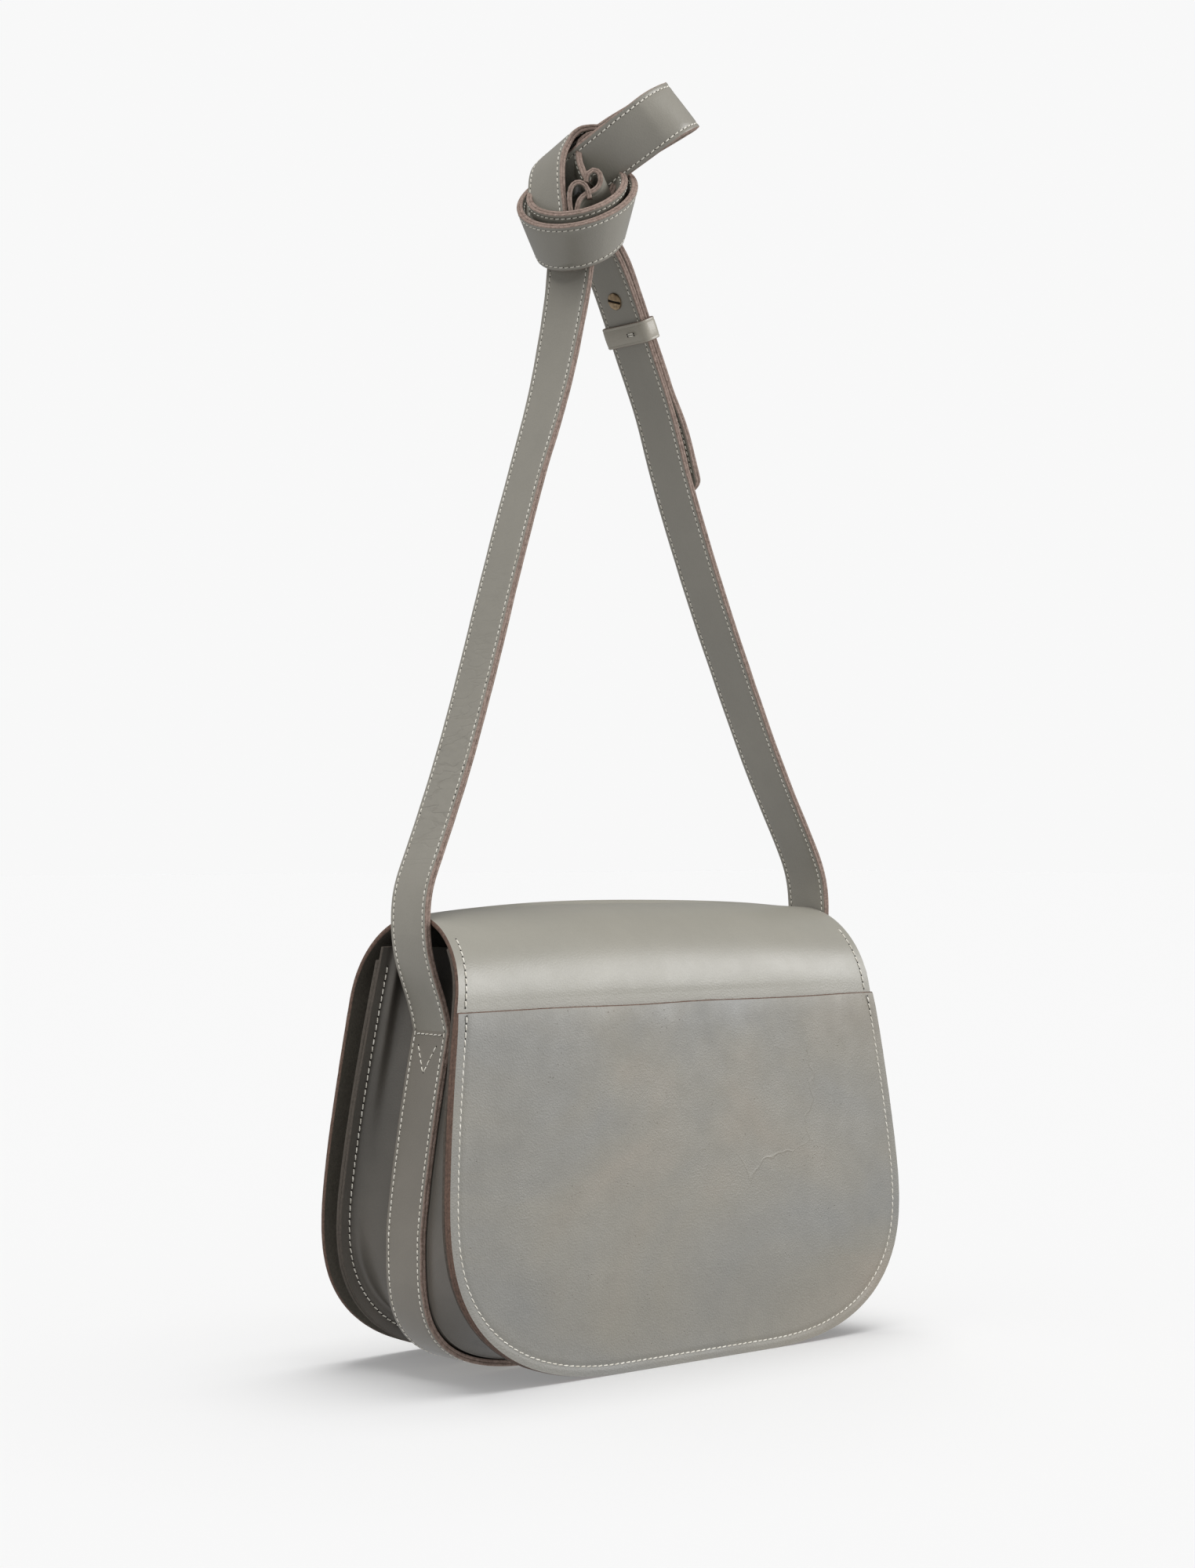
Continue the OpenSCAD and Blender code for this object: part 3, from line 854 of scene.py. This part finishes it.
def leg_line(sign, points):
    """The line of a leg from the end of the sewn part up, on the side that sign gives."""
    riser = catmull([(sign * x, z) for x, z in RISER[::-1]], 80)
    upper = points[points[:, 1] > SWING_Z]
    return ease(resample(upright(np.vstack([riser[:-1], upper])), 1.0), 7)


def twist(path, turns):
    """Across directions along a path: along Y, turned about Z by the angles in turns (height, degrees)."""
    z = [a for a, _ in turns]
    d = [b for _, b in turns]
    out = []
    for p in path:
        a = math.radians(np.interp(p[2], z, d))
        out.append((-math.sin(a), math.cos(a), 0))
    return np.array(out)


def creases(p, a):
    """Fine creases across the lower part of the left leg."""
    z = p[2]
    worn = math.exp(-(((z - 262) / 30) ** 2)) + 0.35 * math.exp(-(((z - 330) / 30) ** 2))
    if worn < 0.02:
        return 0.0
    folds = wave((a * 0.5, 0, (z + a * 0.5) * 1.5), 0.2, 3)
    folds += 0.6 * wave((a * 0.9, 0, (z - a * 0.4) * 2.6), 0.22, 8)
    folds = -abs(folds) ** 0.75
    return 0.75 * worn * (folds + 0.35) * max(0.0, 1 - (abs(a) / 12.0) ** 6)


base_path = lower_strap()
base_across = spread(ALONG_Y, base_path)
base_strap = ribbon("strap_round_gusset", base_path, base_across, mats=(BASE_STRAP_SHADED, EDGE))
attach(base_strap, "bag")
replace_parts(base_strap, "strap_base_outer", "strap_base_lining")
# its stitches show on the outer face only
sew_ribbon("bag", base_path, base_across, (1,))

left_path = leg_line(1, catmull(LEFT, 500))
left_across = twist(left_path, [(400, 0), (470, 8), (519, 16)])
left_leg = ribbon("strap_left_leg", left_path, left_across, wrinkle=creases, mats=(CREASED, EDGE))
right_path = leg_line(-1, np.vstack([catmull(RIGHT, 400), [run_point(s) for s in np.linspace(2, 88, 44)]]))
right_across = spread(ALONG_Y, right_path)
right_leg = ribbon("strap_right_leg", right_path, right_across)
for leg, path, across, nodes in (
        (left_leg, left_path, left_across, ("left_leg_outer", "left_leg_lining")),
        (right_leg, right_path, right_across, ("right_leg_outer", "right_leg_lining"))):
    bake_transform(leg)
    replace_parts(leg, *nodes)
    sew_ribbon("legs", path, across)


def tail_line():
    """The free end of the strap, on the outer side of the right leg and under the keeper."""
    keys = [tuple(run_point(s)) for s in (86, 78, 70, 62, 50, 40, 30, 20, 10, 4)]
    keys += [(-26, 426), (-31.4, 411), (-35.8, 397)]
    middle = resample(upright(catmull(keys, 200)), 1.5)
    _, inwards = frames(middle, spread(ALONG_Y, middle))
    path = middle - inwards * (2 * PLY_T + 0.1)
    # closer points for the rounded tip
    return np.vstack([path[:-6], resample(path[-6:], 0.5)])


tail_path = tail_line()
tail_across = spread(ALONG_Y, tail_path)
tail = ribbon("strap_tail", tail_path, tail_across, tip=7.0)
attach(tail, "strap")
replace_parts(tail, "tail_outer", "tail_lining")
sew_ribbon("strap", tail_path[:-16], tail_across[:-16])

# ---- keeper


KEEPER_S = 35
KEEPER_HEIGHT = 10
KEEPER_T = 1.7
KEEPER_ROOM = 0.4  # clearance round the strap and its tail
KEEPER_CORNER_R = 2.4


def at_run(s, out):
    """A point of the straight run at s, out towards the inner side of the leg."""
    x, z = RUN_P + RUN_D * s
    return np.array([x, 0, z]) + RUN_OUT * out


KEEPER_C = at_run(KEEPER_S, -PLY_T - 0.05)
KEEPER_ALONG = np.array([RUN_D[0], 0, RUN_D[1]])


def keeper_ring():
    """The keeper's middle line round the strap, as rows of (out, along Y, direction outwards)."""
    a = (4 * PLY_T + 0.1) / 2 + KEEPER_ROOM + KEEPER_T / 2 - KEEPER_CORNER_R
    b = HALF_STRAP + KEEPER_ROOM + KEEPER_T / 2 - KEEPER_CORNER_R
    ring = []
    for cx, cy, start in ((a, b, 0), (-a, b, 90), (-a, -b, 180), (a, -b, 270)):
        for degrees in range(start, start + 91, 15):
            g = math.radians(degrees)
            x, y = math.cos(g), math.sin(g)
            ring.append((cx + KEEPER_CORNER_R * x, cy + KEEPER_CORNER_R * y, 0, x, y))
    return resample(np.array(ring + ring[:1]), 1.0)[:-1]


def keeper_mesh():
    """A closed band round the strap and its tail."""
    h = KEEPER_HEIGHT / 2
    # a line is pressed in near both edges
    face = [(h - 0.15, 0.75), (h - 0.9, 0.88), (h - 1.3, 0.7), (h - 1.7, 0.86), (0, 0.95)]
    edge = [(h - 0.25, -0.8), (h, -0.5), (h + 0.03, 0.45)]
    profile = closed_profile(edge, face)
    k = len(profile)
    ring = keeper_ring()
    size = len(ring)
    verts, faces, face_mats = [], [], []
    for x, y, _, nx, ny in ring:
        nx, ny = unit([nx, ny])
        for w, o, _ in profile:
            verts.append(KEEPER_C + RUN_OUT * (x + nx * o) + ALONG_Y * (y + ny * o) + KEEPER_ALONG * w)
    for i in range(size):
        for j in range(k):
            q, after = (j + 1) % k, (i + 1) % size
            faces.append((i * k + j, i * k + q, after * k + q, after * k + j))
            face_mats.append(max(profile[j][2], profile[q][2]))
    return make("keeper_band", verts, faces, [KEEPER, EDGE], face_mats, 45)


keeper = keeper_mesh()
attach(keeper, "keeper")
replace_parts(keeper, "keeper_loop")

# ---- knot

KNOT_COS = math.cos(KNOT_TURN)
KNOT_SIN = math.sin(KNOT_TURN)
ROT = np.array([[KNOT_COS, -KNOT_SIN, 0], [KNOT_SIN, KNOT_COS, 0], [0, 0, 1]])


def band(name, edges, n=160, sew=(1, -1), width=STRAP_W, t=PLY_T):
    """A stretch of strap between two edges, as rows of (right, away, up) twice, from the knot's front."""
    k = catmull([list(a) + list(b) for a, b in edges], n * 3)
    mid = (k[:, :3] + k[:, 3:]) / 2
    both = resample(np.hstack([mid, k[:, :3] - k[:, 3:]]), 1.5)
    path = both[:, :3] @ ROT.T + KNOT_C
    across = both[:, 3:] @ ROT.T
    obj = ribbon(name, path, across, width, t)
    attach(obj, "strap")
    sew_ribbon("strap", path, across, sew, width, t)
    return obj


def on_disc(centre, radius, roll, angle):
    """A point of a tilted circle, at an angle in degrees."""
    a = math.radians(angle)
    turn = Matrix.Rotation(math.radians(roll), 3, "Y") @ Matrix.Rotation(math.radians(WRAP_TILT), 3, "X")
    return np.array(centre) + np.array(turn @ Vector((radius * math.cos(a), radius * math.sin(a), 0)))


def ring_edges(high, low, start, end, grow):
    """The two edges of a turn round the knot, along circles given as (centre, radius, roll)."""
    rows = []
    for share in np.linspace(0, 1, 24):
        angle = start + share * (end - start)
        rows.append([on_disc(c, r + grow * share, roll, angle) for c, r, roll in (high, low)])
    return rows


WRAP_TILT = 41
wrap_edges = ring_edges(((2.1, -9.5, -0.6), 26.6, -17.5), ((3.1, 4.5, -20.2), 19.2, -17),
                        55, 400, grow=0.8)
wrap = band("knot_wrap_outer", wrap_edges)
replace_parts(wrap, "knot_wrap")
core_edges = ring_edges(((2.1, -11.7, 2.0), 22.2, -17.5), ((3.1, 2.5, -17.4), 15.2, -17),
                        65, 400, grow=0.3)
inner_wrap = band("knot_wrap_inner", core_edges)
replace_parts(inner_wrap, "knot_core")

hood = band("knot_hood_outer", [
    ((-2.0, -24, -16), (-19, -5, -15)), ((-3.2, -24.5, -9.5), (-20.2, -5.5, -9)),
    ((-4.5, -24, 3.8), (-19.4, -3.4, 4.5)), ((-4.5, -20, 14.7), (-17.2, 0.5, 14.3)),
    ((-1.5, -15, 23.6), (-11.4, 8, 22)), ((2.6, -11, 29), (-3.4, 13.6, 27)),
    ((8.5, -8, 31), (6.5, 17, 29)), ((14.1, -6, 30.4), (13.5, 19.3, 28.2)),
    ((19.5, -5, 26), (19.3, 20.3, 24)), ((21, -5, 17), (21, 20.3, 15)),
    ((19, -6, 5), (19, 19, 4)), ((13, -7, -6), (13, 18, -7))])
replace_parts(hood, "knot_hood")
band("knot_hood_inner", [
    ((18, -3, 12), (18, 17, 10)), ((18.5, -4, 20), (18, 16, 18)), ((14.5, -6.5, 26.4), (13, 15, 24)),
    ((8.2, -9, 27.6), (6.5, 13, 25.2)), ((3.9, -11, 23.9), (0.5, 11, 22)),
    ((3.0, -13, 18.6), (-1.4, 9, 18)), ((3.9, -15.5, 11.8), (-0.5, 6, 11)),
    ((6.2, -18, 5.8), (2.5, 3, 4)), ((9.0, -19, 1.0), (6, 1, -1))], width=22)

BIGHT_RISE = math.radians(38)
BIGHT_DIR = np.array([math.cos(BIGHT_RISE), 0, math.sin(BIGHT_RISE)])
BIGHT_WIDE = np.array([-BIGHT_DIR[2], 0, BIGHT_DIR[0]])
BIGHT_C = np.array([9.4, -8.0, 9.9])
BIGHT_L = 52.0


def bight_edges():
    """The bight of strap that stands out of the knot: out, round the fold, and back."""
    pts = [(-14, 6.5, 3.2), (-6, 3.2, 2.7), (4, -1.4, 1.9), (14, -5.6, 1.1), (23, -8.2, 0.5)]
    # a broad curve, then a tight fold
    for a in range(4, 61, 8):
        g = math.radians(a)
        pts.append((BIGHT_L - 20.6 + 22 * math.sin(g), -9.4 + 22 * (1 - math.cos(g)), 0))
    for a in range(75, 181, 20):
        g = math.radians(a)
        pts.append((BIGHT_L - 4.1 + 3 * math.sin(g), 3.1 - 3 * math.cos(g), 1.2 * (a - 60) / 120))
    pts += [(36, 6.4, 2.6), (26, 7.2, 4.2), (14, 8.5, 5.6), (4, 10, 6.6), (-6, 12.5, 7.4), (-14, 15, 8)]
    rows = []
    for x, y, up in pts:
        c = BIGHT_C + BIGHT_DIR * x + ALONG_Y * y + BIGHT_WIDE * up
        # its top edge leans towards the viewer, more so near the knot
        lean = math.radians(np.interp(x, [10, 44], [26, 4]))
        half = (BIGHT_WIDE * math.cos(lean) - ALONG_Y * math.sin(lean)) * HALF_STRAP
        rows.append((c + half, c - half))
    return rows


loop = band("knot_bight", bight_edges(), 200)
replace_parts(loop, "knot_loop")

# the small curls where the strap's ends cross
band("knot_curl_right", [
    ((6.9, -20.0, 4.4), (10.2, -6, 1.0)), ((7.6, -20.4, 6.9), (11.4, -6, 3.4)),
    ((9.6, -21.0, 8.1), (13.6, -6, 4.2)), ((11.8, -21.6, 6.9), (15.6, -6.4, 2.6)),
    ((12.8, -22.0, 3.8), (16.2, -7, -0.8)), ((11.9, -22.4, 0.6), (14.8, -7, -4.2)),
    ((9.2, -22.8, -1.8), (11.6, -7.4, -6.8)), ((6.2, -23.2, -3.2), (8.2, -8, -8.6)),
    ((3.8, -23.6, -5.6), (5.4, -8, -11)), ((2.4, -23.8, -10), (3.8, -8, -14)),
    ((2.0, -24, -15), (3.2, -8, -18))], width=17, t=1.25, sew=(1,))
band("knot_curl_left", [
    ((7.6, -24.4, -4.4), (8.4, -10, -6)), ((6.6, -24.6, -0.8), (7.2, -10, -2.4)),
    ((4.6, -24.9, 1.5), (4.8, -10, 0.2)), ((2.0, -25.2, 1.9), (2.0, -10, 0.8)),
    ((-0.2, -25.5, 0.0), (-0.6, -10, -1.0)), ((-1.2, -25.7, -4.0), (-1.7, -10, -4.8)),
    ((-0.9, -25.8, -9.5), (-1.2, -10, -10)), ((0.2, -26, -15.5), (0, -10, -16))], width=14, t=1.1, sew=(1,))

# ---- rows of stitches on the body


def seam_round(line, y_of, normal):
    """A row of stitches along an outline in (x, z), on the surface that y_of gives."""
    points = np.stack([line[:, 0], [y_of(z) for z in line[:, 1]], line[:, 1]], 1)
    stitch("bag", points, spread(normal, points), SEAM_PITCH)


def side_seam(sign):
    """Stitches on the back panel from the pocket's mouth up to the top of the side seam."""
    rows, normals = [], []
    for z in np.linspace(POCKET_Z + 1.5, SEAM_TOP, 40):
        if z < ARCH_FOOT:
            y, n = back_face(z), BACK_N
        else:
            a = math.asin(min(1, (z - ARCH_Z) / ARCH_R))
            y, n = ARCH_Y + ARCH_R * math.cos(a), np.array([0, math.cos(a), math.sin(a)])
        rows.append(np.array([sign * (side_x(z) - SEAM_INSET), y, z]) + n * 0.1)
        normals.append(n)
    stitch("bag", rows, normals, SEAM_PITCH)


def body_seams():
    """Stitching round the back, the front panel and the gusset's flanges behind both."""
    line = mirrored(half_outline(SEAM_TOP - 1, SEAM_INSET, 80, 90))
    seam_round(line[line[:, 1] <= POCKET_Z - 0.5], lambda z: pocket_face(z) - 0.35, BACK_N)
    side_seam(1)
    side_seam(-1)
    line = mirrored(half_outline(MOUTH_Z - 2, SEAM_INSET - 0.1, 80, 90))
    seam_round(line, front_face, FRONT_N)
    seam_round(line, lambda z: front_inner(z) + GUSSET_T + 0.03, -FRONT_N)
    seam_round(line, lambda z: back_inner(z) - GUSSET_T - 0.03, -ALONG_Y)


def strap_anchor(sign):
    """The cross row and the triangle that hold the strap to the gusset."""
    slope = -BAND_SIDE_N * (BAND_X - BAND_TOP_X) / (BAND_TOP_Z - BAND_Z)
    n = unit([sign, 0, -slope])

    def on_strap(y, z):
        return np.array([sign * band_side(z), y, z]) + n * (PLY_T + 0.1)

    z = BAND_TOP_Z - 2
    corners = [(-9.6, z), (9.6, z), (-6.5, z - 4.5), (0.3, z - 17), (6.8, z - 4.5)]
    for start, end in ((0, 1), (2, 3), (4, 3)):
        row = [on_strap(*corners[start]), on_strap(*corners[end])]
        stitch("bag", row, spread(n, row), 2.7)


def keeper_staple():
    """The two stitches that close the keeper, near the back of the bag."""
    centre = KEEPER_C + RUN_OUT * (2 * PLY_T + 2.95)
    for lift in (-0.5, 0.5):
        row = [centre + KEEPER_ALONG * lift + ALONG_Y * y for y in (3.6, 8.2)]
        stitch("keeper", row, spread(RUN_OUT, row), 4.0, slant=0.0, first=0.2)


def finish_threads():
    """One object for the threads of each group, and one for the painted shade of its needle holes."""
    for group, g in sewn.items():
        for part, verts, faces, material in (("thread", g["thread"], g["thread_faces"], THREAD),
                                             ("needle_hole_shade", g["holes"], g["hole_faces"], HOLE_SHADE)):
            obj = make(f"{part}_{group}", verts, faces, [material], sharp=80)
            if group == "legs":
                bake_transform(obj)
            else:
                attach(obj, group)


body_seams()
strap_anchor(1)
strap_anchor(-1)
keeper_staple()
finish_threads()

# ---- adjuster screw

SCREW_S = 51.5  # how far along the run the screw sits
SCREW_SLOT = math.radians(20)  # how far the slot leans from straight across the strap
CROWN_R = 3.8
CROWN_Z = 0.98  # height at which the crown begins
SLOT_FLAT = 0.4  # half width of the slot's floor
SLOT_SHADE = 0.46  # half width of its part painted dark as shade
SLOT_SLOPE = 0.16  # width of each of its walls
SLOT_REACH = 3.98  # the slot ends just inside the rim
SLOT_DEPTH = 0.7


def screw_head():
    """The slotted round head on the inner side of the right leg."""
    across = np.cross(RUN_OUT, ALONG_Y)
    u = ALONG_Y * math.cos(SCREW_SLOT) - across * math.sin(SCREW_SLOT)
    v = across * math.cos(SCREW_SLOT) + ALONG_Y * math.sin(SCREW_SLOT)
    centre = at_run(SCREW_S, PLY_T)
    # rings as (radius, height): the seam pressed into the leather, the rim, then the crown
    rings = [(4.4, -0.05), (4.35, 0.04), (4.05, 0.05), (4.05, 0.15), (4.1, 0.6), (4.0, 0.85)]
    rings.append((CROWN_R, CROWN_Z))
    rings += [(r, CROWN_Z + 0.32 * (1 - (r / CROWN_R) ** 2)) for r in np.linspace(3.7, 0.12, 26)]
    n = 132
    verts, faces, face_mats = [], [], []
    for i, (r, h) in enumerate(rings):
        for k in range(n):
            a = 2 * math.pi * k / n
            x, y = r * math.cos(a), r * math.sin(a)
            if r < SLOT_REACH:
                dip = SLOT_DEPTH * max(0.0, min(1.0, (SLOT_FLAT + SLOT_SLOPE - abs(y)) / SLOT_SLOPE))
            else:
                dip = 0.0
            verts.append(centre + u * x + v * y + RUN_OUT * (h - dip))
            if i < len(rings) - 1:
                q = (k + 1) % n
                faces.append((i * n + k, i * n + q, (i + 1) * n + q, (i + 1) * n + k))
                # the slot's floor and the seam round the head are painted dark, as shade in these recesses
                off_middle = r * abs(math.sin(2 * math.pi * (k + 0.5) / n))
                dark = i < 2 or (off_middle < SLOT_SHADE and r < SLOT_REACH)
                face_mats.append(int(dark))
    faces.append(tuple((len(rings) - 1) * n + k for k in range(n)))
    face_mats.append(1)
    obj = make("slotted_screw", verts, faces, [BRASS, HOLE_SHADE], face_mats, 50)
    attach(obj, "screw")
    return obj


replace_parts(screw_head(), "adjuster_screw")

# ---- CAD nodes that stay

KEPT = {BRASS: ("adjuster_post",), STRAP: ("socket_patch", "stud_patch"),
        STEEL: ("snap_socket", "snap_socket_washer", "snap_stud", "snap_stud_washer")}
for material, names in KEPT.items():
    for node in names:
        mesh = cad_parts[node].data
        mesh.materials.clear()
        mesh.materials.append(material)

# ---- stage, light and camera


def sun(name, towards, strength, angle):
    """A broad soft light from the direction given."""
    light = bpy.data.lights.new(name, "SUN")
    light.energy = strength
    light.angle = math.radians(angle)
    obj = bpy.data.objects.new(name, light)
    bpy.context.scene.collection.objects.link(obj)
    obj.rotation_euler = Vector(towards).to_track_quat("Z", "Y").to_euler()
    return obj


def pale_floor():
    """A pale floor that runs into the pale backdrop."""
    m, t, b = nodes_of("pale_floor")
    feed(t, b, {"Base Color": (FLOOR_SHADE, FLOOR_SHADE, FLOOR_SHADE, 1), "Roughness": 1.0,
                "Specular IOR Level": 0.0, "Emission Color": (*WHITE, 1), "Emission Strength": FLOOR_GLOW})
    corners = [(x * FLOOR_REACH, y * FLOOR_REACH, 0) for x, y in ((-1, -1), (1, -1), (1, 1), (-1, 1))]
    obj = make("pale_floor", corners, [(0, 1, 2, 3)], [m])
    obj.visible_diffuse = False
    obj.visible_glossy = False
    return obj


def studio():
    """A pale world: soft from above, brighter from below like light off a floor, plain to the camera."""
    world = bpy.data.worlds.new("studio")
    bpy.context.scene.world = world
    world.use_nodes = True
    t = world.node_tree
    axes = add_node(t, "SeparateXYZ", {"Vector": add_node(t, "TexCoord", {}).outputs["Generated"]})
    low = add_node(t, "MapRange", {"Value": axes.outputs["Z"], "From Min": -0.6, "From Max": 0.3,
                                   "To Min": AMBIENT_LOW, "To Max": AMBIENT})
    seen = add_node(t, "LightPath", {}).outputs["Is Camera Ray"]
    pick = add_node(t, "Mix", {"Factor": seen, "A": low.outputs["Result"], "B": BACKDROP})
    feed(t, t.nodes["Background"], {"Color": (*WHITE, 1), "Strength": pick.outputs["Result"]})


def lights(floor):
    """Two lights for the bag, and one for the floor alone, so that only a close soft shadow lies on it."""
    key = sun("key", (-0.65, 0.69, 0.33), 2.2, 34)
    fill = sun("fill", (0.5, 0.1, 0.86), 2.6, 50)
    overhead = sun("overhead", (-0.14, -0.04, 1), 2.27, 44)
    for light, linked in ((key, "EXCLUDE"), (fill, "EXCLUDE"), (overhead, "INCLUDE")):
        receivers = bpy.data.collections.new("floor_and_" + light.name)
        receivers.objects.link(floor)
        light.light_linking.receiver_collection = receivers
        receivers.collection_objects[0].light_linking.link_state = linked


def camera():
    cam = bpy.data.cameras.new("camera")
    cam.sensor_fit = "VERTICAL"
    cam.sensor_height = 36
    cam.lens = LENS
    obj = bpy.data.objects.new("camera", cam)
    bpy.context.scene.collection.objects.link(obj)
    away = Vector(CAMERA_AWAY).normalized()
    right = away.cross(Vector((0, 0, 1))).normalized()
    m = Matrix((right, right.cross(away), -away)).transposed().to_4x4()
    m.translation = CAMERA_AT
    obj.matrix_world = m
    bpy.context.scene.camera = obj


floor = pale_floor()
studio()
lights(floor)
camera()
bpy.context.scene.view_settings.view_transform = "Standard"
